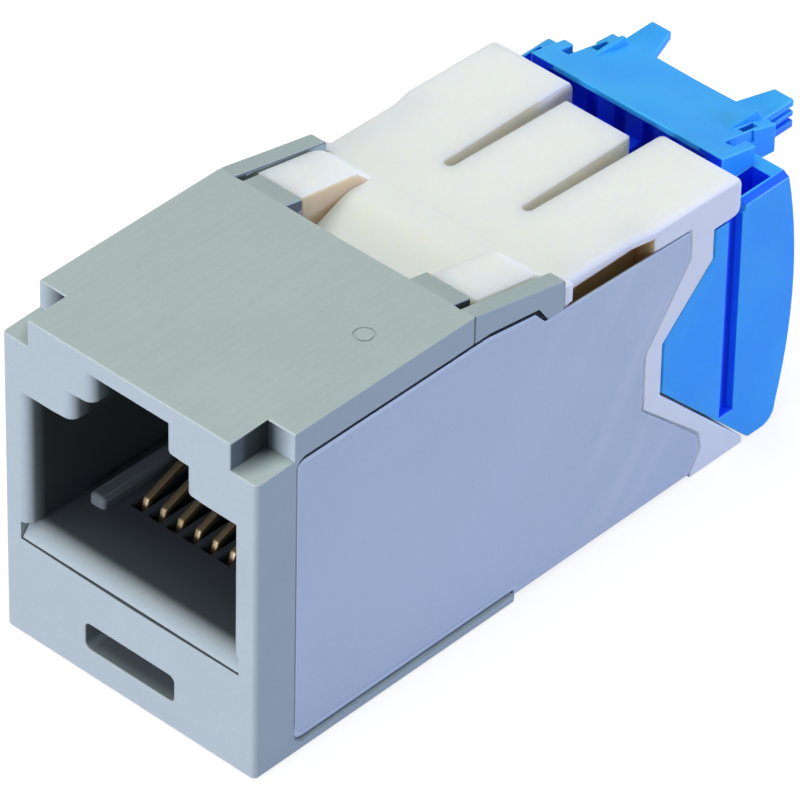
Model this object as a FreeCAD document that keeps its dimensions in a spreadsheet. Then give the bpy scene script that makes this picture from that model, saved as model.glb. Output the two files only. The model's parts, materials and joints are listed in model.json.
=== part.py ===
import FreeCAD, Part
import os
import Sketcher
from FreeCAD import Vector

# Sizes in millimetres: a length, a distance from another size, or a formula
# Lengths run back from the front face, heights up from the underside, widths out from the middle
SIZES = {
    # Whole jack
    "overall_length": ("bar_rear", 1.9),
    "gap": 0.1,
    "slip": 0.02,
    "overcut": 1.0,
    "arc_share": 0.293,
    # Front housing
    "body_width": 14.6,
    "body_height": 17.2,
    "roof_length": 13.0,
    "roof_wall": 0.85,
    "roof_under": "body_height - roof_wall",
    "side_wall": 0.85,
    "floor_wall": 1.2,
    "wall_length": ("roof_length", 5.65),
    "wall_end_height": ("body_height", -1.2),
    "wall_end_round": 0.25,
    "corner_notch_width": 1.5,
    "corner_notch_length": 2.26,
    "corner_notch_depth": 1.4,
    "tab_inner": ("tab_outer", -2.5),
    "tab_outer": ("pad_outer", -0.25),
    "tab_length": 1.1,
    "front_round": 0.25,
    "mark_across": 4.8,
    "mark_back": 9.0,
    "mark_radius": 0.5,
    "mark_line": 0.12,
    "mark_depth": 0.05,
    # Plug port, for an 11.68 wide plug
    "port_width": 11.8,
    "port_floor": 6.05,
    "port_top": ("port_floor", 7.15),
    "port_depth": "clamp_front - gap",
    "step_width": 6.4,
    "step_top": ("port_top", 1.54),
    "keyway_width": 4.1,
    "lead_in": 0.5,
    # Sprung catch under the front housing
    "release_width": 5.2,
    "release_bottom": 1.4,
    "release_top": 2.8,
    "release_round": 0.3,
    "catch_slit": 0.6,
    "catch_rail": 1.4,
    "catch_root": ("roof_length", -2.5),
    "catch_length": 2.5,
    "catch_relief": 0.5,
    # Snap windows in the side walls
    "window_front": ("wall_length", -3.45),
    "window_rear": ("wall_length", -1.25),
    "window_bottom": 5.5,
    "window_top": 10.5,
    "wedge_height": 0.45,
    # Contact sled and clamp
    "sled_width": ("nose_width", -0.1),
    "sled_bottom": ("port_floor", -2.45),
    "sled_length": ("board_front", -0.2),
    "lip_seam": ("port_floor", -0.8),
    "lip_depth": 0.85,
    "lip_bevel": 0.6,
    "rib_inner": ("contact_half", 0.844),
    "rib_outer": ("rib_inner", 0.9),
    "rib_top": ("port_floor", 0.55),
    "rib_front": 3.0,
    "rib_rear": ("roof_length", -3.5),
    "rib_round": 0.25,
    "clamp_front": ("roof_length", -0.5),
    "clamp_rear": ("clamp_front", 0.8),
    "clamp_top": ("roof_under", -0.15),
    # Plug contacts
    "contact_count": 8,
    "contact_pitch": 1.016,
    "contact_half": "contact_pitch * (contact_count - 1) / 2",
    "contact_width": 0.36,
    "contact_thickness": 0.34,
    "contact_height": ("port_floor", 0.35),
    "contact_tail": ("board_rear", 0.04),
    "contact_knee": ("board_front", -1.1),
    "contact_crest": 8.0,
    "contact_crest_height": ("contact_height", 0.9),
    "contact_nose": 4.8,
    "contact_nose_height": ("contact_height", -0.3),
    "contact_tip": 4.5,
    "contact_tip_height": ("contact_height", -1.2),
    "slot_width": 0.6,
    "slot_front": 4.1,
    "slot_rear": ("contact_knee", -0.1),
    "slot_shelf": ("contact_height", -1.2),
    # Circuit board
    "board_front": "clamp_rear + gap",
    "board_thickness": 1.2,
    "board_rear": "board_front + board_thickness",
    "board_width": ("nose_width", -0.3),
    "board_bottom": ("nose_bottom", 0.3),
    "board_top": ("nose_top", -0.6),
    "contact_hole": 0.38,
    "blade_hole": 0.36,
    # Terminal blades
    "blade_inner": 0.81,
    "blade_outer": 2.43,
    "blade_span": "2 * blade_outer",
    "blade_upper": ("finger_bottom", -0.95),
    "blade_lower": ("board_bottom", 1.05),
    "blade_width": 1.25,
    "blade_thickness": 0.4,
    "blade_shoulder": ("board_rear", 0.08),
    "blade_tail": ("board_front", 0.05),
    "blade_tail_width": 0.5,
    "blade_end": ("cap_wall", 0.8),
    "fork_root": ("blade_end", -2.6),
    "fork_mouth": ("blade_end", -0.5),
    "fork_slot": 0.3,
    "fork_mouth_width": 0.8,
    # Rear housing
    "rear_width": ("body_width", -0.3),
    "rear_start": "wall_length + gap",
    "rear_height": ("body_height", -1.7),
    "nose_width": "body_width - 2 * (side_wall + gap)",
    "nose_half": "nose_width / 2",
    "nose_start": ("board_rear", 0.12),
    "nose_bottom": "floor_wall + gap",
    "nose_top": ("rear_height", -0.8),
    "shelf_front": ("board_front", 0.1),
    "shelf_bottom": ("ramp_front_height", -0.1),
    "ramp_front_height": ("rear_height", -1.15),
    "ramp_rear": ("shelf_front", 3.5),
    "ramp_rear_height": ("rear_height", 0.2),
    "pad_inner": ("pad_outer", -2.63),
    "pad_outer": ("nose_half", -0.05),
    "pad_front": "roof_length + tab_length + gap",
    "pad_front_height": ("body_height", -0.35),
    "pad_rear": ("rear_start", -1.0),
    "pad_rear_height": ("rear_height", 0.75),
    "pad_foot": ("rear_start", -0.05),
    "finger_end": ("rear_start", 11.5),
    "finger_height": ("rear_height", -0.33),
    "finger_bottom": ("finger_height", -2.02),
    "finger_top_round": 0.75,
    "finger_low_round": 0.7,
    "finger_round": 0.4,
    "middle_finger_end": ("finger_end", -1.45),
    "slit_front": ("rear_start", 3.05),
    "slit_inner": 2.0,
    "slit_outer": ("slit_inner", 0.5),
    "slit_inner_rear": ("slit_inner", -0.2),
    "slit_outer_rear": ("slit_outer", 0.24),
    "slit_nose": 0.2,
    "mouth_front": ("finger_end", -4.95),
    "mouth_low": 5.9,
    "mouth_high": 8.7,
    "mouth_shoulder": ("finger_end", -1.85),
    "mouth_shoulder_height": ("finger_bottom", -1.55),
    "arm_tip": ("finger_end", 0.75),
    "arm_tip_height": 0.3,
    "hollow_width": ("nose_width", -1.5),
    "hollow_front": ("nose_start", 1.78),
    "hollow_bottom": ("nose_bottom", 0.3),
    "shelf_width": ("blade_span", 2.54),
    "shelf_rear": ("finger_end", -4.25),
    "upper_shelf": ("blade_upper", -0.9),
    "lower_shelf": ("blade_lower", 1.05),
    "groove_front": ("rear_start", 0.55),
    "groove_rear": ("finger_end", -5.75),
    "groove_bottom": ("finger_bottom", -0.55),
    "groove_top": ("finger_height", -0.42),
    "groove_depth": 1.1,
    "plate_inset": 0.25,
    "plate_inset_fade": 1.2,
    # Shield foil
    "foil_face": "body_width - 2 * foil_bed_depth + slip",
    "foil_thickness": 0.12,
    "foil_under": 0.03,
    "foil_bed_depth": 0.3,
    "foil_bed_under": 0.17,
    "foil_fold": 0.3,
    "foil_round": 0.6,
    "foil_front": ("corner_notch_length", 0.19),
    "foil_low": 0.5,
    "foil_top": ("body_height", -1.5),
    "foil_wrap_front": ("wall_length", -2.5),
    "foil_slope_start": ("roof_length", 1),
    "foil_step_front": ("wall_length", -1.65),
    "foil_step_front_height": ("foil_top", -0.45),
    "foil_step_rear": ("wall_length", -1.05),
    "foil_step_rear_height": ("foil_top", -1.3),
    "foil_rear": ("mouth_shoulder", -1.58),
    "foil_rear_height": ("finger_bottom", 0.75),
    "foil_rear_low": ("finger_bottom", -0.77),
    "foil_waist": ("mouth_front", -1.2),
    "foil_waist_high": ("mouth_high", 0),
    "foil_waist_low": ("mouth_low", -0.2),
    "foil_heel": ("arm_tip", -3.1),
    "foil_heel_height": 2.16,
    "foil_toe": ("arm_tip", -2.92),
    "foil_toe_height": 1.3,
    "foil_end": ("arm_tip", -3.6),
    # Wire cap
    "cap_width": ("rear_width", -0.1),
    "cap_half": "cap_width / 2",
    "cap_gap": 0.15,
    "cap_seat_gap": 0.06,
    "cheek_inner": ("cap_width", -2.7),
    "cap_shoulder": "finger_end + cap_gap",
    "cap_shoulder_height": ("finger_bottom", 0.45),
    "cap_rear_top": ("cap_wall", 2.85),
    "cap_bulge": ("cap_wall", 3.6),
    "cap_bulge_height": ("cap_shoulder_height", -5.6),
    "cap_rear_low": ("cap_wall", 2.8),
    "cap_rear_low_height": 0.9,
    "cap_heel": ("cap_wall", 1.9),
    "cap_heel_bend": ("cap_wall", 2.55),
    "cap_heel_bend_height": 0.26,
    "cap_wall": "finger_end + cap_gap",
    "cap_edge_bevel": 0.3,
    "chamber_width": ("cheek_inner", -1.5),
    "chamber_bottom": ("blade_lower", 0.95),
    "chamber_top": ("blade_upper", -1.3),
    "chamber_rear": ("cap_wall", 1.8),
    "cable_radius": 3.75,
    "cable_height": ("chamber_top", -3.9),
    "wire_slot_width": 0.62,
    "wire_slot_rear": ("cap_wall", 1.2),
    "wire_slot_top": ("cap_shoulder_height", 0.45),
    "wire_slot_bottom": 0.6,
    "blade_slit_width": ("blade_span", 1.94),
    "blade_slit_height": 0.7,
    "bar_width": ("cap_width", -3.1),
    "bar_half": "bar_width / 2",
    "bar_front": ("cap_wall", 0.2),
    "bar_bottom": ("finger_bottom", -0.7),
    "bar_front_height": ("finger_height", -0.27),
    "lip_recess": ("bar_front", 0.55),
    "lip_bottom": ("bar_front_height", -0.35),
    "lip_floor": ("finger_bottom", -0.25),
    "bar_rear": ("bar_front", 4.5),
    "bar_rear_height": ("bar_front_height", -0.95),
    "ear_inner": ("bar_half", -0.55),
    "ear_rear": ("bar_front", 2.2),
    "ear_notch_inner": ("bar_half", -1.05),
    "ear_notch_front": ("bar_front", 1.3),
    "plate_front_half": ("bar_half", -1.05),
    "plate_rear_half": ("bar_half", -0.8),
    "rib_plate_inner": ("plate_front_half", -0.8),
    "rib_plate_outer": ("plate_front_half", -0.55),
    "rib_plate_front": ("bar_front", 2.3),
    "rib_plate_rear": ("bar_front", 4.2),
    "rib_plate_top": ("bar_front_height", -0.48),
    "plate_hole_inner": ("plate_front_half", -0.45),
    "plate_hole_outer": ("plate_front_half", -0.1),
    "plate_hole_front": ("bar_front", 2.7),
    "plate_hole_rear": ("bar_front", 3.7),
    "prong_outer": ("plate_rear_half", -0.63),
    "prong_inner": ("prong_outer", -1.12),
    "prong_root_inner": ("prong_outer", -1.77),
    "prong_plate": 0.45,
    "prong_wall": 0.5,
    "prong_groove": 0.22,
    "prong_groove_low": ("bar_rear_height", -1.1),
    "prong_groove_high": ("bar_rear_height", -0.6),
    "shoulder_pocket_inner": ("bar_half", 0.1),
    "shoulder_pocket_outer": ("cap_half", -0.4),
    "shoulder_pocket_front": ("cap_wall", 0.2),
    "shoulder_pocket_rear": ("cap_wall", 2.1),
    "shoulder_pocket_bottom": ("cap_shoulder_height", -2),
    "side_groove_front": ("cap_wall", -1),
    "side_groove_rear": ("cap_wall", -0.1),
    "side_groove_bottom": 2.0,
    "side_groove_depth": 0.4,
}

NEAR = 0.01
PLANES = {"x": "YZ_Plane", "y": "XZ_Plane", "z": "XY_Plane"}


class Size:
    """A length together with the sheet formula that gives it."""

    def __init__(self, value, text):
        self.value = value
        self.text = text

    def joined(self, sign, other, value):
        return Size(value, f"({self.text} {sign} {other.text})")

    def __add__(self, other):
        other = as_size(other)
        return self.joined("+", other, self.value + other.value)

    def __sub__(self, other):
        other = as_size(other)
        return self.joined("-", other, self.value - other.value)

    def __mul__(self, other):
        other = as_size(other)
        return self.joined("*", other, self.value * other.value)

    def __truediv__(self, other):
        other = as_size(other)
        return self.joined("/", other, self.value / other.value)

    def __neg__(self):
        return Size(-self.value, f"(-1 * {self.text})")


class Dims:
    """Every cell of the sheet as a Size under its own name."""

    def __init__(self, table):
        for name in SIZES:
            setattr(self, name, Size(float(table.get(name)), f"{table.Name}.{name}"))


def cell_text(amount):
    """What a cell holds: a plain length, a distance from another size, or a formula."""
    if isinstance(amount, tuple):
        return f"={amount[0]} + ({amount[1]})"
    if isinstance(amount, str):
        return f"={amount}"
    return str(amount)


class Via:
    """A point that the outline's next edge bends through."""

    def __init__(self, x, y):
        self.point = (as_size(x), as_size(y))


class Round:
    """A circle in an outline."""

    def __init__(self, x, y, radius):
        self.centre = (as_size(x), as_size(y))
        self.radius = as_size(radius)


def as_size(value):
    return value if isinstance(value, Size) else Size(value, repr(value))


def spot(point):
    return Vector(point[0].value, point[1].value, 0)


def pin(sketch, geometry, end, point):
    """Ties one end of a sketch line to its sheet position."""
    for kind, size in zip(("DistanceX", "DistanceY"), point):
        rule = Sketcher.Constraint(kind, -1, 1, geometry, end, size.value)
        sketch.setExpression(f"Constraints[{sketch.addConstraint(rule)}]", size.text)


def draw_round(sketch, ring):
    circle = Part.Circle(spot(ring.centre), Vector(0, 0, 1), ring.radius.value)
    geometry = sketch.addGeometry(circle, False)
    pin(sketch, geometry, 3, ring.centre)
    rule = Sketcher.Constraint("Radius", geometry, ring.radius.value)
    sketch.setExpression(f"Constraints[{sketch.addConstraint(rule)}]", ring.radius.text)


def draw_path(sketch, points, closed=True):
    """Draws straight and bent edges through points, each tied to the sheet."""
    corners = []
    vias = {}
    for item in points:
        if isinstance(item, Via):
            vias[len(corners) - 1] = item.point
        else:
            corners.append((as_size(item[0]), as_size(item[1])))
    count = len(corners)
    ends = []
    for index in range(count if closed else count - 1):
        start = spot(corners[index])
        finish = spot(corners[(index + 1) % count])
        if index in vias:
            geometry = sketch.addGeometry(Part.Arc(start, spot(vias[index]), finish), False)
        else:
            geometry = sketch.addGeometry(Part.LineSegment(start, finish), False)
        turned = sketch.getPoint(geometry, 1).distanceToPoint(start) > NEAR
        ends.append((geometry, 2, 1) if turned else (geometry, 1, 2))
    for index, (geometry, first, last) in enumerate(ends):
        pin(sketch, geometry, first, corners[index])
        follower = ends[(index + 1) % len(ends)]
        if closed or index + 1 < len(ends):
            sketch.addConstraint(Sketcher.Constraint("Coincident", geometry, last, follower[0], follower[1]))
        else:
            pin(sketch, geometry, last, corners[index + 1])
    for index, via in vias.items():
        guide = sketch.addGeometry(Part.Point(spot(via)), True)
        pin(sketch, guide, 1, via)
        sketch.addConstraint(Sketcher.Constraint("PointOnObject", guide, 1, ends[index][0]))


def profile(body, name, axis, loops, start):
    """A sketch across an axis, at a distance along it."""
    start = as_size(start)
    offset = -start if axis == "y" else start
    sketch = body.newObject("Sketcher::SketchObject", name + "_outline")
    plane = next(item for item in body.Origin.OriginFeatures if item.Role == PLANES[axis])
    sketch.AttachmentSupport = [(plane, "")]
    sketch.MapMode = "FlatFace"
    sketch.AttachmentOffset = FreeCAD.Placement(Vector(0, 0, offset.value), FreeCAD.Rotation())
    sketch.setExpression("AttachmentOffset.Base.z", offset.text)
    for loop in loops:
        if isinstance(loop, Round):
            draw_round(sketch, loop)
        else:
            draw_path(sketch, loop)
    return sketch


def run_along(body, name, kind, axis, loops, start, end, turned):
    length = as_size(end) - start
    feature = body.newObject(kind, name)
    feature.Profile = profile(body, name, axis, loops, start)
    feature.Reversed = turned
    feature.Length = length.value
    feature.setExpression("Length", length.text)
    doc.recompute()
    return feature


def grow(body, name, axis, loops, start, end):
    return run_along(body, name, "PartDesign::Pad", axis, loops, start, end, axis == "y")


def cut(body, name, axis, loops, start, end):
    before = body.Tip.Shape.Volume
    feature = run_along(body, name, "PartDesign::Pocket", axis, loops, start, end, axis != "y")
    if not feature.Shape.Volume < before:
        raise RuntimeError(f"{body.Name}: {name} takes nothing away")
    return feature


def repeat_across(body, feature, count, pitch):
    """Repeats a feature in a row across the jack."""
    row = body.newObject("PartDesign::LinearPattern", feature.Name + "_row")
    row.Originals = [feature]
    axis = next(item for item in body.Origin.OriginFeatures if item.Role == "X_Axis")
    row.Direction = (axis, [""])
    row.setExpression("Length", (pitch * (count - 1)).text)
    row.setExpression("Occurrences", count.text)
    body.Tip = row
    doc.recompute()
    return row


def soften(body, name, kind, size, chosen):
    """Rounds or bevels the edges that a test on axis and middle point picks."""
    doc.recompute()
    base = body.Tip
    edges = []
    for number, edge in enumerate(base.Shape.Edges, 1):
        ends = [vertex.Point for vertex in edge.Vertexes]
        if len(ends) < 2 or edge.Curve.TypeId != "Part::GeomLine":
            continue
        run = ends[1] - ends[0]
        axis = max("xyz", key=lambda letter: abs(getattr(run, letter)))
        if chosen(axis, (ends[0] + ends[1]) / 2):
            edges.append(f"Edge{number}")
    if not edges:
        raise RuntimeError(f"{body.Name}: {name} finds no edge")
    feature = body.newObject("PartDesign::" + kind, name)
    feature.Base = (base, edges)
    feature.setExpression("Size" if kind == "Chamfer" else "Radius", size.text)
    doc.recompute()
    return feature


def near(value, size):
    return abs(value - as_size(size).value) < NEAR


def rect(left, right, low, high):
    return [(left, low), (right, low), (right, high), (left, high)]


def centred(width, low, high):
    return rect(-(width / 2), width / 2, low, high)


def mirrored(points):
    """An outline and its twin on the other side of the jack's middle."""
    twin = []
    for item in points:
        if isinstance(item, Via):
            twin.append(Via(-item.point[0], item.point[1]))
        else:
            twin.append((-as_size(item[0]), item[1]))
    return [points, twin]


def symmetric(half):
    """A closed outline from its right half, listed from the middle outwards."""
    return half + [(-as_size(x), y) for x, y in reversed(half)]


def new_body(name):
    body = doc.addObject("PartDesign::Body", name)
    body.Label = name
    bodies.append(body)
    return body


def side_spans(width, depth):
    """Left and right spans that reach a depth into both sides of a width."""
    half = width / 2
    return {"left": (-half - d.overcut, -half + depth), "right": (half - depth, half + d.overcut)}


def port_outline():
    """The stepped plug opening."""
    return symmetric([
        (d.port_width / 2, d.port_floor),
        (d.port_width / 2, d.port_top),
        (d.step_width / 2, d.port_top),
        (d.step_width / 2, d.step_top),
        (d.keyway_width / 2, d.step_top),
        (d.keyway_width / 2, d.roof_under),
    ])


def lead_in_outline(wall):
    """The rounded corner where an upright wall of the plug opening meets the front face, from above."""
    share = d.lead_in * d.arc_share
    return [
        (wall, d.lead_in),
        Via(wall + share, share),
        (wall + d.lead_in, 0),
        (wall + d.lead_in, -d.overcut),
        (wall - d.slip, -d.overcut),
        (wall - d.slip, d.lead_in),
    ]


def foil_outline(spread):
    """The side view of the foil, widened all round by a spread."""
    low = -d.overcut
    return [
        (d.foil_front - spread, d.foil_low - spread),
        (d.foil_wrap_front - spread, d.foil_low - spread),
        (d.foil_wrap_front - spread, low),
        (d.foil_end + spread, low),
        (d.foil_end + spread, d.foil_bed_under),
        (d.foil_toe + spread, d.foil_toe_height),
        (d.foil_heel + spread, d.foil_heel_height + spread),
        (d.foil_waist + spread, d.foil_waist_low),
        (d.foil_waist + spread, d.foil_waist_high),
        (d.foil_rear + spread, d.foil_rear_low),
        (d.foil_rear + spread, d.foil_rear_height + spread),
        (d.foil_step_rear, d.foil_step_rear_height + spread),
        (d.foil_step_front, d.foil_step_front_height + spread),
        (d.foil_slope_start, d.foil_top + spread),
        (d.foil_front - spread, d.foil_top + spread),
    ]


def cell_positions():
    """Columns and rows of the eight terminal blades."""
    columns = (-d.blade_outer, -d.blade_inner, d.blade_inner, d.blade_outer)
    return [(column, row) for row in (d.blade_upper, d.blade_lower) for column in columns]


def build_front_housing():
    body = new_body("front_housing")
    half = d.body_width / 2
    inner = half - d.side_wall
    grow(body, "block", "x", [[
        (0, 0),
        (d.foil_wrap_front - d.gap, 0),
        (d.foil_wrap_front - d.gap, d.foil_bed_under),
        (d.wall_length, d.foil_bed_under),
        (d.wall_length, d.wall_end_height),
        (d.roof_length, d.body_height),
        (0, d.body_height),
    ]], -half, half)
    cut(body, "port", "y", [port_outline()], 0, d.port_depth + d.slip)
    sled_half = d.sled_width / 2 + d.gap / 2
    cut(body, "sled_bay", "y", [rect(
        -sled_half, sled_half, d.sled_bottom - d.gap / 2, d.port_floor + d.slip)],
        d.lip_depth - d.gap, d.port_depth + d.slip)
    cut(body, "lip_bay", "y", [rect(-sled_half, sled_half, d.lip_seam - d.gap / 2, d.port_floor + d.slip)],
        -d.overcut, d.lip_depth)
    cut(body, "rear_bay", "y", [rect(-inner, inner, d.floor_wall, d.roof_under)],
        d.port_depth, d.wall_length + d.overcut)
    cut(body, "roof_opening", "z", [symmetric([
        (d.tab_inner, d.roof_length),
        (d.tab_inner, d.roof_length + d.tab_length),
        (d.tab_outer, d.roof_length + d.tab_length),
        (d.tab_outer, d.roof_length),
        (inner, d.roof_length),
        (inner, d.wall_length + d.overcut),
    ])], d.port_top, d.body_height + d.overcut)
    cut(body, "corner_notches", "z", mirrored(rect(
        half - d.corner_notch_width, half + d.overcut, -d.overcut, d.corner_notch_length)),
        d.body_height - d.corner_notch_depth, d.body_height + d.overcut)
    for level, (wall, bottom, top) in {
            "port": (d.port_width / 2, d.port_floor, d.port_top),
            "step": (d.step_width / 2, d.port_top, d.step_top),
            "keyway": (d.keyway_width / 2, d.step_top, d.roof_under)}.items():
        cut(body, level + "_lead_in", "z", mirrored(lead_in_outline(wall)), bottom, top)

    # Sprung catch and the slot in the front face that reaches it
    release = d.release_width / 2
    cut(body, "release_slot", "y", [centred(d.release_width, d.release_bottom, d.release_top)],
        0, d.catch_root)
    soften(body, "release_corners", "Fillet", d.release_round, lambda axis, at: (
        axis == "y" and near(abs(at.x), release) and at.z < d.lip_seam.value))
    cut(body, "catch_slits", "z", mirrored(rect(
        release - d.slip, release + d.catch_slit, d.catch_rail, d.catch_root)),
        -d.overcut, d.release_top)
    cut(body, "catch_front", "z", [centred(d.release_width, d.catch_rail, d.catch_rail + d.catch_slit)],
        -d.overcut, d.release_bottom + d.slip)
    cut(body, "catch_relief", "z", [centred(
        d.release_width, d.catch_rail + d.catch_slit + d.catch_length, d.catch_root)],
        -d.overcut, d.catch_relief)

    # Windows for the rear housing's wedges, and the bed of the foil
    cut(body, "snap_windows", "x", [rect(
        d.window_front, d.window_rear, d.window_bottom, d.window_top)],
        -half - d.overcut, half + d.overcut)
    for side, (start, end) in side_spans(d.body_width, d.foil_bed_depth).items():
        cut(body, side + "_foil_bed", "x", [foil_outline(d.gap)], start, end)
    soften(body, "bed_corners", "Fillet", d.foil_round, lambda axis, at: (
        axis == "x" and near(at.y, d.foil_front - d.gap)))
    soften(body, "wall_ends", "Fillet", d.wall_end_round, lambda axis, at: (
        axis == "x" and near(at.y, d.wall_length) and near(at.z, d.wall_end_height)))
    soften(body, "front_corners", "Fillet", d.front_round, lambda axis, at: (
        axis == "z" and near(abs(at.x), half) and near(at.y, 0)))
    soften(body, "fold_edges", "Fillet", d.foil_fold, lambda axis, at: (
        axis == "y" and near(abs(at.x), half - d.foil_bed_depth) and near(at.z, d.foil_bed_under)))

    # Round mould mark in the roof and the parting line where the roof ends
    cut(body, "mould_mark", "z", [
        Round(d.mark_across, d.mark_back, d.mark_radius),
        Round(d.mark_across, d.mark_back, d.mark_radius - d.mark_line),
    ], d.body_height - d.mark_depth, d.body_height + d.overcut)
    for side, (start, end) in side_spans(d.body_width, d.mark_depth).items():
        cut(body, side + "_parting_line", "x", [rect(
            d.roof_length - d.mark_line / 2, d.roof_length + d.mark_line / 2,
            d.foil_top, d.body_height + d.overcut)], start, end)


def build_contact_sled():
    body = new_body("contact_sled")
    half = d.sled_width / 2
    grow(body, "deck", "y", [rect(-half, half, d.sled_bottom, d.port_floor - d.slip)],
         d.lip_depth, d.sled_length)
    grow(body, "front_lip", "x", [[
        (0, d.lip_seam),
        (d.lip_depth + d.slip, d.lip_seam),
        (d.lip_depth + d.slip, d.port_floor - d.slip),
        (d.lip_bevel, d.port_floor - d.slip),
    ]], -half, half)
    grow(body, "guide_ribs", "z", mirrored(rect(d.rib_inner, d.rib_outer, d.rib_front, d.rib_rear)),
         d.port_floor - d.gap, d.rib_top)
    soften(body, "rib_rounds", "Fillet", d.rib_round, lambda axis, at: near(at.z, d.rib_top))
    first = -(d.contact_pitch * (d.contact_count - 1) / 2)
    slot = cut(body, "contact_slot", "x", [[
        (d.slot_front, d.sled_bottom - d.overcut),
        (d.slot_rear, d.sled_bottom - d.overcut),
        (d.slot_rear, d.slot_shelf),
        (d.sled_length + d.overcut, d.slot_shelf),
        (d.sled_length + d.overcut, d.rib_top),
        (d.slot_front, d.rib_top),
    ]], first - d.slot_width / 2, first + d.slot_width / 2)
    repeat_across(body, slot, d.contact_count, d.contact_pitch)


def build_contact_clamp():
    body = new_body("contact_clamp")
    half = d.sled_width / 2
    grow(body, "wall", "y", [rect(-half, half, d.port_floor + d.slip, d.clamp_top)],
         d.clamp_front, d.clamp_rear)
    first = -(d.contact_pitch * (d.contact_count - 1) / 2)
    top = d.contact_height + d.contact_thickness / 2 + d.gap
    notch = cut(body, "contact_notch", "y", [rect(
        first - d.slot_width / 2, first + d.slot_width / 2, d.port_floor - d.overcut, top)],
        d.clamp_front - d.overcut, d.clamp_rear + d.overcut)
    repeat_across(body, notch, d.contact_count, d.contact_pitch)


def build_plug_contact(number):
    body = new_body(f"plug_contact_{number}")
    spine = profile(body, "bend", "x", [], 0)
    draw_path(spine, [
        (d.contact_tail, d.contact_height),
        (d.contact_knee, d.contact_height),
        (d.contact_crest, d.contact_crest_height),
        (d.contact_nose, d.contact_nose_height),
        (d.contact_tip, d.contact_tip_height),
    ], closed=False)
    low = d.contact_height - d.contact_thickness / 2
    high = d.contact_height + d.contact_thickness / 2
    section = profile(body, "section", "y", [centred(d.contact_width, low, high)], d.contact_tail)
    wire = body.newObject("PartDesign::AdditivePipe", "wire")
    wire.Profile = section
    wire.Spine = (spine, [])
    wire.Transition = "Round corner"
    column = d.contact_pitch * (as_size(number) - (d.contact_count + 1) / 2)
    body.setExpression("Placement.Base.x", column.text)
    doc.recompute()


def build_circuit_board():
    body = new_body("circuit_board")
    rear = d.board_front + d.board_thickness
    grow(body, "board", "y", [centred(d.board_width, d.board_bottom, d.board_top)], d.board_front, rear)
    first = -(d.contact_pitch * (d.contact_count - 1) / 2)
    hole = cut(body, "contact_hole", "y", [Round(first, d.contact_height, d.contact_hole)],
               d.board_front - d.overcut, rear + d.overcut)
    repeat_across(body, hole, d.contact_count, d.contact_pitch)
    cut(body, "blade_holes", "y", [Round(column, row, d.blade_hole) for column, row in cell_positions()],
        d.board_front - d.overcut, rear + d.overcut)


def build_idc_blade(number, column, row):
    body = new_body(f"idc_blade_{number}")
    grow(body, "blade", "z", [symmetric([
        (d.fork_slot / 2, d.fork_root),
        (d.fork_slot / 2, d.fork_mouth),
        (d.fork_mouth_width / 2, d.blade_end),
        (d.blade_width / 2, d.blade_end),
        (d.blade_width / 2, d.blade_shoulder),
        (d.blade_tail_width / 2, d.blade_shoulder),
        (d.blade_tail_width / 2, d.blade_tail),
    ])], -(d.blade_thickness / 2), d.blade_thickness / 2)
    body.setExpression("Placement.Base.x", column.text)
    body.setExpression("Placement.Base.z", row.text)
    doc.recompute()


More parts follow.
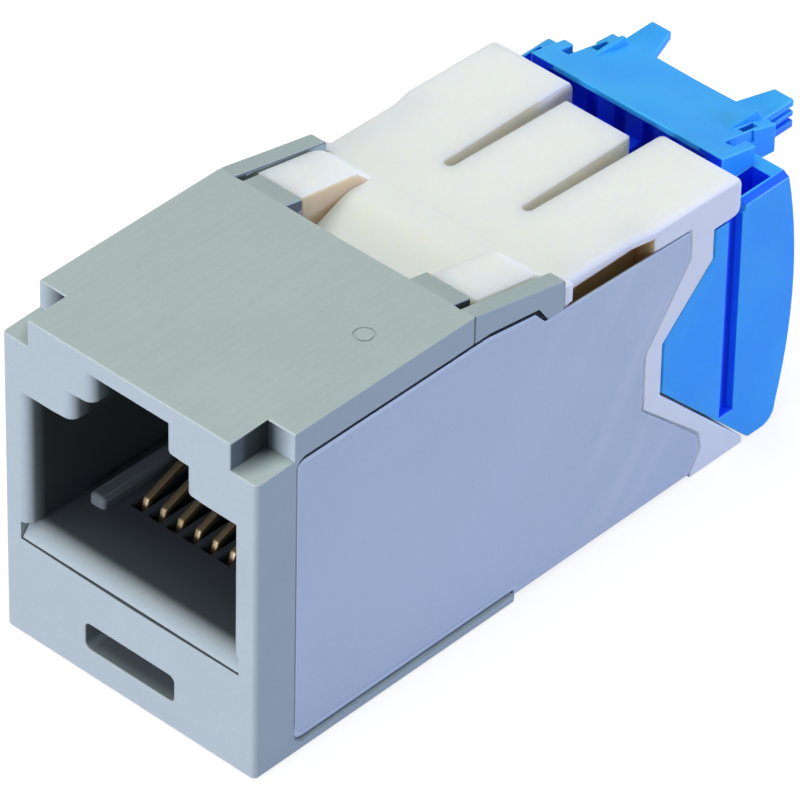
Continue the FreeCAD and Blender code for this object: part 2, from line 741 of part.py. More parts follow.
def build_rear_housing():
    body = new_body("rear_housing")
    half = d.rear_width / 2
    nose = d.nose_width / 2
    past = d.arm_tip + d.overcut
    above = d.rear_height + d.overcut
    low = d.finger_low_round
    high = d.finger_top_round
    corner = d.finger_round
    grow(body, "shell", "x", [[
        (d.rear_start, d.foil_bed_under),
        (d.foil_end + d.gap, d.foil_bed_under),
        (d.foil_end + d.gap, 0),
        (d.arm_tip, 0),
        (d.arm_tip, d.arm_tip_height),
        (d.mouth_front, d.mouth_low),
        (d.mouth_front, d.mouth_high),
        (d.mouth_shoulder, d.mouth_shoulder_height),
        (d.mouth_shoulder, d.finger_bottom),
        (d.finger_end - low, d.finger_bottom),
        Via(d.finger_end - low * d.arc_share, d.finger_bottom + low * d.arc_share),
        (d.finger_end, d.finger_bottom + low),
        (d.finger_end, d.finger_height - high),
        Via(d.finger_end - high * d.arc_share, d.finger_height - high * d.arc_share),
        (d.finger_end - high, d.finger_height),
        (d.rear_start, d.rear_height),
    ]], -half, half)
    grow(body, "nose", "y", [rect(-nose, nose, d.nose_bottom, d.nose_top)],
         d.nose_start, d.rear_start + d.slip)
    grow(body, "ramp", "x", [[
        (d.shelf_front, d.shelf_bottom),
        (d.rear_start, d.shelf_bottom),
        (d.rear_start, d.rear_height),
        (d.ramp_rear, d.ramp_rear_height),
        (d.shelf_front, d.ramp_front_height),
    ]], -d.pad_outer, d.pad_outer)
    for side, (start, end) in {
            "left": (-d.pad_outer, -d.pad_inner), "right": (d.pad_inner, d.pad_outer)}.items():
        grow(body, side + "_pad", "x", [[
            (d.pad_front, d.shelf_bottom),
            (d.pad_foot, d.shelf_bottom),
            (d.pad_foot, d.rear_height - d.slip),
            (d.pad_rear, d.pad_rear_height),
            (d.pad_front, d.pad_front_height),
        ]], start, end)

    # Hollow behind the bulkhead, leaving a shelf for each row of blades
    hollow = d.hollow_width / 2
    shelf = d.shelf_width / 2
    cut(body, "hollow", "y", [symmetric([
        (shelf, d.lower_shelf),
        (shelf, d.hollow_bottom),
        (hollow, d.hollow_bottom),
        (hollow, d.finger_bottom),
        (shelf, d.finger_bottom),
        (shelf, d.upper_shelf),
    ])], d.hollow_front, d.shelf_rear + d.slip)
    cut(body, "wire_room", "y", [rect(-hollow, hollow, d.hollow_bottom, d.finger_bottom)],
        d.shelf_rear, past)
    wide = d.blade_width / 2 + d.slip
    tall = d.blade_thickness / 2 + d.slip
    cut(body, "blade_channels", "y", [
        rect(column - wide, column + wide, row - tall, row + tall) for column, row in cell_positions()],
        d.nose_start - d.overcut, d.shelf_rear + d.slip)

    # Three fingers of the top plate
    cut(body, "finger_slits", "z", mirrored([
        (d.slit_inner, d.slit_front),
        Via((d.slit_inner + d.slit_outer) / 2, d.slit_front - d.slit_nose),
        (d.slit_outer, d.slit_front),
        (d.slit_outer_rear, d.finger_end + d.overcut),
        (d.slit_inner_rear, d.finger_end + d.overcut),
    ]), d.finger_bottom - d.gap, above)
    cut(body, "middle_finger", "z", [rect(
        -(d.slit_inner_rear + d.gap), d.slit_inner_rear + d.gap,
        d.middle_finger_end, d.finger_end + d.overcut)], d.finger_bottom - d.gap, above)
    cut(body, "finger_corners", "z", mirrored([
        (half + d.overcut, d.finger_end - corner),
        (half, d.finger_end - corner),
        Via(half - corner * d.arc_share, d.finger_end - corner * d.arc_share),
        (half - corner, d.finger_end),
        (half - corner, d.finger_end + d.overcut),
        (half + d.overcut, d.finger_end + d.overcut),
    ]), d.finger_bottom - d.gap, above)

    # Sides: edge groove under the top plate, and the bed of the foil
    cut(body, "plate_insets", "z", mirrored([
        (half + d.overcut, d.groove_front),
        (half - d.plate_inset, d.groove_front),
        (half - d.plate_inset, d.groove_rear - d.plate_inset_fade),
        (half, d.groove_rear),
        (half + d.overcut, d.groove_rear),
    ]), d.groove_bottom, above)
    for side, (start, end) in side_spans(d.rear_width, d.groove_depth).items():
        cut(body, side + "_edge_groove", "x", [rect(
            d.groove_front, d.groove_rear, d.groove_bottom, d.groove_top)], start, end)
    bed = d.foil_bed_depth - (d.body_width - d.rear_width) / 2
    for side, (start, end) in side_spans(d.rear_width, bed).items():
        cut(body, side + "_foil_bed", "x", [foil_outline(d.gap)], start, end)
    for side, sign in {"left": -1, "right": 1}.items():
        wedge = (nose + d.wedge_height) * sign
        foot = (nose - d.slip) * sign
        grow(body, side + "_wedge", "z", [[
            (foot, d.window_front + d.gap),
            (wedge, d.window_rear - d.gap),
            (foot, d.window_rear - d.gap),
        ]], d.window_bottom + d.gap, d.window_top - d.gap)
    soften(body, "fold_edges", "Fillet", d.foil_fold, lambda axis, at: (
        axis == "y" and near(abs(at.x), half - bed) and near(at.z, d.foil_bed_under)))


def build_shield_foil():
    body = new_body("shield_foil")
    inner = d.foil_face / 2
    outer = inner + d.foil_thickness
    bottom = d.foil_under + d.foil_thickness
    top = d.foil_top + d.overcut
    grow(body, "channel", "y", [symmetric([
        (inner, bottom),
        (inner, top),
        (outer, top),
        (outer, d.foil_under),
    ])], d.foil_front - d.overcut, d.foil_toe + d.overcut)
    soften(body, "outer_fold", "Fillet", d.foil_fold, lambda axis, at: (
        axis == "y" and near(abs(at.x), outer) and near(at.z, d.foil_under)))
    soften(body, "inner_fold", "Fillet", d.foil_fold - d.foil_thickness, lambda axis, at: (
        axis == "y" and near(abs(at.x), inner) and near(at.z, bottom)))
    frame = rect(d.foil_front - d.overcut * 2, d.foil_toe + d.overcut * 2, -(d.overcut * 2), top + d.overcut)
    cut(body, "trim", "x", [frame, foil_outline(0)], -outer - d.overcut, outer + d.overcut)
    soften(body, "front_corners", "Fillet", d.foil_round, lambda axis, at: (
        axis == "x" and near(at.y, d.foil_front)))


def build_wire_cap():
    body = new_body("wire_cap")
    half = d.cap_width / 2
    gap = d.cap_gap
    past = d.overall_length + d.overcut
    before = d.cap_wall - d.gap
    grow(body, "cheeks", "x", [[
        (d.mouth_front + gap, d.mouth_low),
        (d.arm_tip + d.cap_seat_gap, d.arm_tip_height + d.cap_seat_gap),
        (d.arm_tip + gap * 3, 0),
        (d.cap_heel, 0),
        Via(d.cap_heel_bend, d.cap_heel_bend_height),
        (d.cap_rear_low, d.cap_rear_low_height),
        Via(d.cap_bulge, d.cap_bulge_height),
        (d.cap_rear_top, d.cap_shoulder_height),
        (d.cap_shoulder, d.cap_shoulder_height),
        (d.cap_shoulder, d.finger_bottom - gap),
        (d.mouth_shoulder + gap, d.finger_bottom - gap),
        (d.mouth_shoulder + gap, d.mouth_shoulder_height),
        (d.mouth_front + gap, d.mouth_high),
    ]], -half, half)
    cut(body, "front_opening", "y", [centred(d.cheek_inner, -d.overcut, d.cap_shoulder_height + d.overcut)],
        d.mouth_front - d.overcut, d.cap_wall)
    cut(body, "wire_chamber", "y", [centred(d.chamber_width, d.chamber_bottom, d.chamber_top)],
        before, d.chamber_rear)
    cut(body, "cable_opening", "y", [Round(0, d.cable_height, d.cable_radius)],
        d.chamber_rear - d.slip, past)

    # Top bar with its plate and prongs, sloping down to the rear
    grow(body, "bar", "z", [symmetric([
        (d.prong_root_inner, d.bar_rear),
        (d.prong_inner, d.overall_length),
        (d.prong_outer, d.overall_length),
        (d.prong_outer, d.bar_rear),
        (d.plate_rear_half, d.bar_rear),
        (d.plate_front_half, d.ear_rear),
        (d.bar_half, d.ear_rear),
        (d.bar_half, d.bar_front),
    ])], d.bar_bottom, d.bar_front_height)
    cut(body, "bar_slope", "x", [[
        (d.bar_front - d.slip, d.bar_front_height),
        (d.bar_rear, d.bar_rear_height),
        (past, d.bar_rear_height),
        (past, d.bar_front_height + d.overcut),
        (d.bar_front - d.slip, d.bar_front_height + d.overcut),
    ]], -half, half)
    cut(body, "bar_undercut", "x", [rect(before, d.lip_recess, d.lip_floor, d.lip_bottom)],
        -d.plate_front_half, d.plate_front_half)
    cut(body, "ear_notches", "z", mirrored(rect(
        d.ear_notch_inner, d.ear_inner, d.ear_notch_front, d.ear_rear + d.overcut)),
        d.cap_shoulder_height, d.bar_front_height + d.overcut)
    for side, (start, end) in {
            "left": (-d.rib_plate_outer, -d.rib_plate_inner),
            "right": (d.rib_plate_inner, d.rib_plate_outer)}.items():
        grow(body, side + "_plate_rib", "x", [[
            (d.rib_plate_front, d.cap_shoulder_height),
            (d.bar_rear, d.cap_shoulder_height),
            (d.bar_rear, d.bar_rear_height),
            (d.rib_plate_rear, d.rib_plate_top),
            (d.rib_plate_front, d.rib_plate_top),
        ]], start, end)
    cut(body, "plate_holes", "z", mirrored(rect(
        d.plate_hole_inner, d.plate_hole_outer, d.plate_hole_front, d.plate_hole_rear)),
        d.bar_bottom, d.bar_front_height)
    cut(body, "prong_hollows", "z", mirrored(rect(
        d.prong_inner - d.overcut, d.prong_outer - d.prong_wall, d.bar_rear + d.gap, past)),
        d.bar_bottom - d.overcut, d.bar_rear_height - d.prong_plate)
    groove = d.prong_outer - d.prong_groove
    cut(body, "prong_grooves", "y", [outline for low in (d.prong_groove_low, d.prong_groove_high)
                                     for outline in mirrored(rect(
                                         groove, d.prong_outer + d.overcut, low, low + d.prong_groove))],
        d.bar_rear + d.gap, past)

    # Slots that hold the wires across the blades
    slots = []
    for column in (-d.blade_outer, -d.blade_inner, d.blade_inner, d.blade_outer):
        left = column - d.wire_slot_width / 2
        right = column + d.wire_slot_width / 2
        slots.append(rect(left, right, d.chamber_top - d.gap, d.wire_slot_top))
        slots.append(rect(left, right, d.wire_slot_bottom, d.chamber_bottom + d.gap))
    cut(body, "wire_slots", "y", slots, before, d.wire_slot_rear)
    tall = d.blade_slit_height / 2
    cut(body, "blade_slits", "y", [
        centred(d.blade_slit_width, row - tall, row + tall) for row in (d.blade_upper, d.blade_lower)],
        before, d.wire_slot_rear - d.gap)

    # Shoulders and sides
    cut(body, "shoulder_pockets", "z", mirrored(rect(
        d.shoulder_pocket_inner, d.shoulder_pocket_outer, d.shoulder_pocket_front, d.shoulder_pocket_rear)),
        d.shoulder_pocket_bottom, d.cap_shoulder_height + d.overcut)
    for side, (start, end) in side_spans(d.cap_width, d.side_groove_depth).items():
        cut(body, side + "_groove", "x", [rect(
            d.side_groove_front, d.side_groove_rear,
            d.side_groove_bottom, d.cap_shoulder_height + d.overcut)], start, end)
    soften(body, "shoulder_bevel", "Chamfer", d.cap_edge_bevel, lambda axis, at: (
        axis == "y" and near(abs(at.x), half) and near(at.z, d.cap_shoulder_height)))


doc = FreeCAD.newDocument("ethernet_jack")
sheet = doc.addObject("Spreadsheet::Sheet", "sizes")
for line, alias in enumerate(SIZES, 1):
    sheet.set(f"A{line}", alias)
    sheet.setAlias(f"B{line}", alias)
for line, amount in enumerate(SIZES.values(), 1):
    sheet.set(f"B{line}", cell_text(amount))
doc.recompute()
d = Dims(sheet)
bodies = []

build_front_housing()
build_contact_sled()
build_contact_clamp()
for contact in range(1, SIZES["contact_count"] + 1):
    build_plug_contact(contact)
build_circuit_board()
for blade, (place, level) in enumerate(cell_positions(), 1):
    build_idc_blade(blade, place, level)
build_rear_housing()
build_shield_foil()
build_wire_cap()

# The jack stands on its underside with the middle of its length over the origin
for body in bodies:
    body.setExpression("Placement.Base.y", (-(d.overall_length / 2)).text)
doc.recompute()

for item in doc.Objects:
    if "Invalid" in item.State or "Error" in item.State:
        raise RuntimeError(f"{item.Name} failed: {item.State}")
os.makedirs("parts", exist_ok=True)
for body in bodies:
    shape = body.Shape
    if shape.isNull() or not shape.isValid() or len(shape.Solids) != 1:
        raise RuntimeError(f"{body.Name} is not one sound solid")
    shape.exportStep(f"parts/{body.Name}.step")
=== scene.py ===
import json
import math

import bpy
from mathutils import Matrix, Vector

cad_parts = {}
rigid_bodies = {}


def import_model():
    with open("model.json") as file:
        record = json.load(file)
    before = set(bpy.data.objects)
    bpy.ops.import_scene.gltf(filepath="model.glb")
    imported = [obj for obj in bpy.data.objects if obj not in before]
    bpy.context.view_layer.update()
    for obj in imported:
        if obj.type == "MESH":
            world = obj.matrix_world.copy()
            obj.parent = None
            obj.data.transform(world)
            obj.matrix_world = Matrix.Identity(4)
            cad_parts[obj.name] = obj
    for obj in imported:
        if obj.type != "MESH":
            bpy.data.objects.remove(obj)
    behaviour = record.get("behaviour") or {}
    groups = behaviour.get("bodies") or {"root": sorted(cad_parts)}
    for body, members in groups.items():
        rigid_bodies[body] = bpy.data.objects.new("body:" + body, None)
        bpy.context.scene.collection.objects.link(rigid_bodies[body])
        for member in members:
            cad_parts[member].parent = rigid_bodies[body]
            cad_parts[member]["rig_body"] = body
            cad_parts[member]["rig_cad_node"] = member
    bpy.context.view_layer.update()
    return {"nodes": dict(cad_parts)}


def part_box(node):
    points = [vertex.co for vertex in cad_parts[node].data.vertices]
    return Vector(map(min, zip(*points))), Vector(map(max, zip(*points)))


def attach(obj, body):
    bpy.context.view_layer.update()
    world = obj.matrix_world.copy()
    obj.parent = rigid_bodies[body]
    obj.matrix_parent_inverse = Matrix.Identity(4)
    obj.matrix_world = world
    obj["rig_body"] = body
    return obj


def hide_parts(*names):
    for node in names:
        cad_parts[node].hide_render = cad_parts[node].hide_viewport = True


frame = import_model()
MM = 0.001

# Camera at the photograph's viewing angle
CAMERA_AZIMUTH = math.radians(42.286)
CAMERA_ELEVATION = math.radians(38.852)
CAMERA_ROLL = math.radians(1.217)
CAMERA_TARGET = Vector((0.0, -1.5, 8.0)) * MM
CAMERA_DISTANCE = 341.333 * MM
CAMERA_SLIDE = 0.345 * MM
CAMERA_LIFT = 1.23 * MM
CAMERA_LENS = 360.0
CAMERA_SENSOR = 36.0
CAMERA_NEAR = 0.01
CAMERA_FAR = 20.0

# Soft lamps: name, place and width in metres, power in watts, colour
SOFTBOXES = (
    ("top_softbox", (-0.08, -0.02, 0.5), 0.42, 2.27, (1.0, 0.99, 0.89)),
    ("front_softbox", (-0.03, -0.52, 0.09), 0.16, 2.65, (0.86, 0.82, 1.0)),
    ("side_softbox", (0.40, 0.36, 0.035), 0.06, 2.25, (0.54, 0.61, 1.0)),
    ("corner_softbox", (0.30, -0.38, 0.16), 0.20, 0.3, (0.84, 0.88, 1.0)),
)

# Surround and floor
WHITE = (1.0, 1.0, 1.0)
FILL_COLOUR = (0.92, 0.95, 1.0)
FILL_STRENGTH = 0.10
FLOOR_COLOUR = (0.3, 0.3, 0.3)
FLOOR_GLOW = 0.8
FLOOR_SIZE = 4.0
FLOOR_HEIGHT = -0.05 * MM


# Node helpers
def feed(tree, socket, value):
    """Gives a socket a number, a colour or another node's output."""
    if isinstance(value, (int, float)):
        socket.default_value = value
    elif isinstance(value, tuple):
        socket.default_value = (*value, 1.0)
    else:
        tree.links.new(value, socket)


def math_node(tree, kind, first, second=0.0):
    node = tree.nodes.new("ShaderNodeMath")
    node.operation = kind
    for socket, value in zip(node.inputs, (first, second)):
        feed(tree, socket, value)
    return node.outputs[0]


def noise_node(tree, vector, scale, detail, roughness=0.55):
    node = tree.nodes.new("ShaderNodeTexNoise")
    node.inputs["Detail"].default_value = detail
    node.inputs["Roughness"].default_value = roughness
    tree.links.new(vector, node.inputs["Vector"])
    feed(tree, node.inputs["Scale"], scale)
    return node.outputs["Fac"]


def mix_colour(tree, share, first, second):
    node = tree.nodes.new("ShaderNodeMix")
    node.data_type = "RGBA"
    sockets = (node.inputs[0], node.inputs[6], node.inputs[7])
    for socket, value in zip(sockets, (share, first, second)):
        feed(tree, socket, value)
    return node.outputs[2]


def scale_colour(tree, colour, share):
    node = tree.nodes.new("ShaderNodeVectorMath")
    node.operation = "SCALE"
    tree.links.new(colour, node.inputs[0])
    tree.links.new(share, node.inputs["Scale"])
    return node.outputs[0]


def spread(tree, value, old, new):
    """Maps an old range of values to a new one, held at its two ends."""
    node = tree.nodes.new("ShaderNodeMapRange")
    node.inputs["From Min"].default_value, node.inputs["From Max"].default_value = old
    node.inputs["To Min"].default_value, node.inputs["To Max"].default_value = new
    tree.links.new(value, node.inputs["Value"])
    return node.outputs["Result"]


def object_place(tree):
    return tree.nodes.new("ShaderNodeTexCoord").outputs["Object"]


def split(tree, vector):
    node = tree.nodes.new("ShaderNodeSeparateXYZ")
    tree.links.new(vector, node.inputs[0])
    return node.outputs


def stretched(tree, vector, scale):
    node = tree.nodes.new("ShaderNodeMapping")
    node.inputs["Scale"].default_value = scale
    tree.links.new(vector, node.inputs["Vector"])
    return node.outputs["Vector"]


def face_share(tree, label):
    """The share that mark_faces noted on each face."""
    node = tree.nodes.new("ShaderNodeAttribute")
    node.attribute_name = label
    return node.outputs["Fac"]


def white_to_view(tree):
    """One where a ray comes straight from the camera or by way of gloss or glass."""
    path = tree.nodes.new("ShaderNodeLightPath").outputs
    glossy = math_node(tree, "MAXIMUM", path["Is Camera Ray"], path["Is Glossy Ray"])
    return math_node(tree, "MAXIMUM", glossy, path["Is Transmission Ray"])


# Studio
def set_camera():
    back = Vector((
        math.sin(CAMERA_AZIMUTH) * math.cos(CAMERA_ELEVATION),
        -math.cos(CAMERA_AZIMUTH) * math.cos(CAMERA_ELEVATION),
        math.sin(CAMERA_ELEVATION),
    ))
    level = Vector((math.cos(CAMERA_AZIMUTH), math.sin(CAMERA_AZIMUTH), 0.0))
    upright = back.cross(level)
    right = level * math.cos(CAMERA_ROLL) + upright * math.sin(CAMERA_ROLL)
    up = back.cross(right)
    place = CAMERA_TARGET + back * CAMERA_DISTANCE - right * CAMERA_SLIDE - up * CAMERA_LIFT
    bpy.ops.object.camera_add()
    camera = bpy.context.object
    camera.name = "photo_camera"
    turn = Matrix((right, up, back)).transposed().to_4x4()
    camera.matrix_world = Matrix.Translation(place) @ turn
    camera.data.lens = CAMERA_LENS
    camera.data.sensor_width = CAMERA_SENSOR
    camera.data.clip_start = CAMERA_NEAR
    camera.data.clip_end = CAMERA_FAR
    bpy.context.scene.camera = camera


def add_softbox(name, place, size, power, colour):
    """A square lamp that faces the middle of the jack."""
    bpy.ops.object.light_add(type="AREA", location=place)
    lamp = bpy.context.object
    lamp.name = name
    lamp.rotation_mode = "QUATERNION"
    lamp.rotation_quaternion = (Vector(place) - CAMERA_TARGET).to_track_quat("Z", "Y")
    lamp.data.shape = "SQUARE"
    lamp.data.size = size
    lamp.data.energy = power
    lamp.data.color = colour


def background(tree, colour, strength):
    node = tree.nodes.new("ShaderNodeBackground")
    feed(tree, node.inputs["Color"], colour)
    node.inputs["Strength"].default_value = strength
    return node.outputs[0]


def set_world():
    """A dim fill on the jack from a surround that shows as plain white."""
    world = bpy.data.worlds.new("studio")
    bpy.context.scene.world = world
    world.use_nodes = True
    tree = world.node_tree
    tree.nodes.clear()
    fill = background(tree, FILL_COLOUR, FILL_STRENGTH)
    white = background(tree, WHITE, 1.0)
    mix = tree.nodes.new("ShaderNodeMixShader")
    out = tree.nodes.new("ShaderNodeOutputWorld")
    tree.links.new(white_to_view(tree), mix.inputs["Fac"])
    tree.links.new(fill, mix.inputs[1])
    tree.links.new(white, mix.inputs[2])
    tree.links.new(mix.outputs[0], out.inputs["Surface"])


def set_floor():
    """A pale floor that keeps the jack's shadow and shows as white around it."""
    bpy.ops.mesh.primitive_plane_add(size=FLOOR_SIZE, location=(0.0, 0.0, FLOOR_HEIGHT))
    floor = bpy.context.object
    floor.name = "studio_floor"
    paint = bpy.data.materials.new("floor_white")
    paint.use_nodes = True
    tree = paint.node_tree
    tree.nodes.clear()
    matt = tree.nodes.new("ShaderNodeBsdfDiffuse")
    feed(tree, matt.inputs["Color"], FLOOR_COLOUR)
    glow = tree.nodes.new("ShaderNodeEmission")
    feed(tree, glow.inputs["Color"], WHITE)
    dim = math_node(tree, "MULTIPLY", white_to_view(tree), FLOOR_GLOW)
    tree.links.new(dim, glow.inputs["Strength"])
    add = tree.nodes.new("ShaderNodeAddShader")
    out = tree.nodes.new("ShaderNodeOutputMaterial")
    tree.links.new(matt.outputs[0], add.inputs[0])
    tree.links.new(glow.outputs[0], add.inputs[1])
    tree.links.new(add.outputs[0], out.inputs["Surface"])
    floor.data.materials.append(paint)


set_camera()
bpy.context.scene.view_settings.view_transform = "Standard"
for softbox in SOFTBOXES:
    add_softbox(*softbox)
set_world()
set_floor()


# Shared surface effects
def new_group(name, inputs, outputs):
    """A shader node group with named sockets; gives its tree and its two ends."""
    tree = bpy.data.node_groups.new(name, "ShaderNodeTree")
    for label, kind, value in inputs:
        socket = tree.interface.new_socket(label, in_out="INPUT", socket_type=kind)
        socket.default_value = value
    for label, kind in outputs:
        tree.interface.new_socket(label, in_out="OUTPUT", socket_type=kind)
    return tree, tree.nodes.new("NodeGroupInput"), tree.nodes.new("NodeGroupOutput")


def make_moulded_group():
    """Moulded plastic: soft cloudiness, fine grain, edge wear with painted highlight and painted
    shade.
    """
    tree, ins, outs = new_group("moulded_surface", [
        ("Colour", "NodeSocketColor", (0.5, 0.5, 0.5, 1.0)),
        ("Edge Wear And Highlight Colour", "NodeSocketColor", (0.7, 0.7, 0.7, 1.0)),
        ("Painted Shade Colour", "NodeSocketColor", (0.2, 0.2, 0.2, 1.0)),
        ("Cloud Depth", "NodeSocketFloat", 0.06),
        ("Grain Scale", "NodeSocketFloat", 9000.0),
        ("Roughness", "NodeSocketFloat", 0.5),
    ], [
        ("Colour", "NodeSocketColor"),
        ("Roughness", "NodeSocketFloat"),
        ("Height", "NodeSocketFloat"),
    ])
    place = object_place(tree)
    cloud = noise_node(tree, place, scale=260.0, detail=4.0)
    speck = noise_node(tree, place, scale=ins.outputs["Grain Scale"], detail=2.0)
    swings = [
        math_node(tree, "MULTIPLY", math_node(tree, "SUBTRACT", noise, 0.5),
                  ins.outputs["Cloud Depth"])
        for noise in (cloud, speck)]
    shade = math_node(tree, "ADD", math_node(tree, "ADD", *swings), 1.0)
    tint = scale_colour(tree, ins.outputs["Colour"], shade)
    patchy = spread(tree, cloud, (0.35, 0.6), (0.25, 0.8))
    # Edge wear and painted highlight: marked edge faces turn lighter in patches
    worn_highlit_edge = math_node(tree, "MULTIPLY", face_share(tree, "edge_wear_and_highlight"), patchy)
    with_edge_wear_highlight = mix_colour(tree, worn_highlit_edge, tint, ins.outputs["Edge Wear And Highlight Colour"])
    # Painted shade: marked faces are mixed towards the shade colour
    deep = mix_colour(tree, face_share(tree, "painted_shade"), with_edge_wear_highlight, ins.outputs["Painted Shade Colour"])
    tree.links.new(deep, outs.inputs["Colour"])
    uneven = spread(tree, cloud, (0.3, 0.7), (-0.06, 0.06))
    gloss = math_node(tree, "ADD", ins.outputs["Roughness"], uneven)
    smooth = math_node(tree, "SUBTRACT", gloss, math_node(tree, "MULTIPLY", worn_highlit_edge, 0.1))
    tree.links.new(smooth, outs.inputs["Roughness"])
    tree.links.new(speck, outs.inputs["Height"])
    return tree


def make_flow_group():
    """Fine flow lines along the jack, above a given height."""
    tree, ins, outs = new_group("flow_lines", [
        ("Start Height", "NodeSocketFloat", 0.0),
        ("Depth", "NodeSocketFloat", 0.1),
    ], [
        ("Shade", "NodeSocketFloat"),
    ])
    place = object_place(tree)
    drawn = stretched(tree, place, (5200.0, 210.0, 5200.0))
    lines = noise_node(tree, drawn, scale=1.0, detail=3.0, roughness=0.7)
    height = split(tree, place)["Z"]
    above = math_node(tree, "GREATER_THAN", height, ins.outputs["Start Height"])
    strength = math_node(tree, "MULTIPLY", above, ins.outputs["Depth"])
    swing = spread(tree, lines, (0.3, 0.7), (-1.0, 1.0))
    tree.links.new(math_node(tree, "MULTIPLY", swing, strength), outs.inputs["Shade"])
    return tree


moulded_surface = make_moulded_group()
flow_lines = make_flow_group()


# Materials
def start_material(name):
    made = bpy.data.materials.new(name)
    made.use_nodes = True
    tree = made.node_tree
    return made, tree, tree.nodes["Principled BSDF"]


def place_group(tree, group, values):
    node = tree.nodes.new("ShaderNodeGroup")
    node.node_tree = group
    for label, value in values.items():
        feed(tree, node.inputs[label], value)
    return node


def add_bump(tree, shader, height, distance, strength):
    bump = tree.nodes.new("ShaderNodeBump")
    bump.inputs["Distance"].default_value = distance
    bump.inputs["Strength"].default_value = strength
    tree.links.new(height, bump.inputs["Height"])
    tree.links.new(bump.outputs["Normal"], shader.inputs["Normal"])


def let_light_in(tree, shader, share, reach, depth):
    """Lets light spread a little way under the skin of a milky plastic."""
    feed(tree, shader.inputs["Subsurface Weight"], share)
    shader.inputs["Subsurface Radius"].default_value = reach
    shader.inputs["Subsurface Scale"].default_value = depth


def make_plastic(name, values, bump_strength, specular):
    """A plastic with the moulded surface; gives its parts for more to be added."""
    made, tree, shader = start_material(name)
    skin = place_group(tree, moulded_surface, values)
    tree.links.new(skin.outputs["Colour"], shader.inputs["Base Color"])
    tree.links.new(skin.outputs["Roughness"], shader.inputs["Roughness"])
    shader.inputs["Specular IOR Level"].default_value = specular
    add_bump(tree, shader, skin.outputs["Height"], 0.01 * MM, bump_strength)
    return made, tree, shader, skin


# Where the painted shade on the grey deepens: into the port, and towards the inner corner of the
# roof's notches
PORT_SHADE_RUN = (-18.4 * MM, -17.45 * MM)
NOTCH_SHADE_ACROSS = (5.8 * MM, 7.1 * MM)
NOTCH_SHADE_ALONG = (-18.84 * MM, -16.24 * MM)
NOTCH_SHADE_FADE = (0.15, 1.0)
SHADE_COLOUR = (0.021, 0.028, 0.034)
ROOF_START = 17.1 * MM


def notch_shade(tree, spot):
    """Fades out with the distance from a notch's inner corner."""
    across = spread(tree, math_node(tree, "ABSOLUTE", spot["X"]), NOTCH_SHADE_ACROSS, (0.0, 1.0))
    along = spread(tree, spot["Y"], NOTCH_SHADE_ALONG, (1.0, 0.0))
    squares = [math_node(tree, "MULTIPLY", way, way) for way in (across, along)]
    away = math_node(tree, "SQRT", math_node(tree, "ADD", *squares))
    near = spread(tree, away, NOTCH_SHADE_FADE, (1.0, 0.0))
    return math_node(tree, "MULTIPLY", face_share(tree, "notch_shade"), near)


def port_shade(tree, spot):
    """Grows with the depth in the port."""
    inward = spread(tree, spot["Y"], PORT_SHADE_RUN, (0.0, 1.0))
    return math_node(tree, "MULTIPLY", face_share(tree, "port_shade"), inward)


def make_grey_plastic():
    """Grey shell: flow lines on the roof, painted shade in the port and the notches."""
    made, tree, shader, skin = make_plastic("grey_plastic", {
        "Colour": (0.378, 0.462, 0.470),
        # Lighter edges for wear and painted highlight; the darkest colour is for painted shade
        "Edge Wear And Highlight Colour": (0.40, 0.465, 0.445),
        "Painted Shade Colour": (0.02, 0.027, 0.03),
        "Cloud Depth": 0.10,
        "Grain Scale": 7000.0,
        "Roughness": 0.5,
    }, bump_strength=0.35, specular=0.12)
    lines = place_group(tree, flow_lines, {"Start Height": ROOF_START, "Depth": 0.025})
    lit = math_node(tree, "ADD", lines.outputs["Shade"], 1.0)
    tint = scale_colour(tree, skin.outputs["Colour"], lit)
    spot = split(tree, object_place(tree))
    shade = math_node(tree, "MAXIMUM", port_shade(tree, spot), notch_shade(tree, spot))
    shaded = mix_colour(tree, shade, tint, SHADE_COLOUR)
    tree.links.new(shaded, shader.inputs["Base Color"])
    return made


def make_white_plastic():
    """Milky white that lets light through, less so on the faces marked as dense."""
    made, tree, shader = make_plastic("white_plastic", {
        "Colour": (0.81, 0.85, 0.845),
        # Edges a touch lighter for wear and painted highlight; beige painted shade in hollows
        # stands in for light through the plastic
        "Edge Wear And Highlight Colour": (0.82, 0.86, 0.855),
        "Painted Shade Colour": (0.60, 0.46, 0.26),
        "Cloud Depth": 0.03,
        "Grain Scale": 5000.0,
        "Roughness": 0.5,
    }, bump_strength=0.15, specular=0.2)[:3]
    milky = spread(tree, face_share(tree, "dense_skin"), (0.0, 1.0), (0.9, 0.05))
    let_light_in(tree, shader, milky, reach=(1.0, 0.8, 0.55), depth=2.4 * MM)
    return made


def make_blue_plastic():
    """Slightly clear blue with broad soft patches."""
    made, tree, shader, skin = make_plastic("blue_plastic", {
        # Lighter cyan edges for wear and painted highlight; saturated deep blue for painted shade
        "Edge Wear And Highlight Colour": (0.07, 0.50, 0.95),
        "Painted Shade Colour": (0.004, 0.05, 1.0),
        "Cloud Depth": 0.10,
        "Grain Scale": 6000.0,
        "Roughness": 0.45,
    }, bump_strength=0.25, specular=0.18)
    broad = noise_node(tree, object_place(tree), scale=330.0, detail=1.0)
    patches = spread(tree, broad, (0.40, 0.64), (0.0, 1.0))
    colour = mix_colour(tree, patches, (0.034, 0.37, 0.97), (0.041, 0.41, 0.97))
    tree.links.new(colour, skin.inputs["Colour"])
    let_light_in(tree, shader, 0.35, reach=(0.1, 0.5, 1.0), depth=0.8 * MM)
    return made


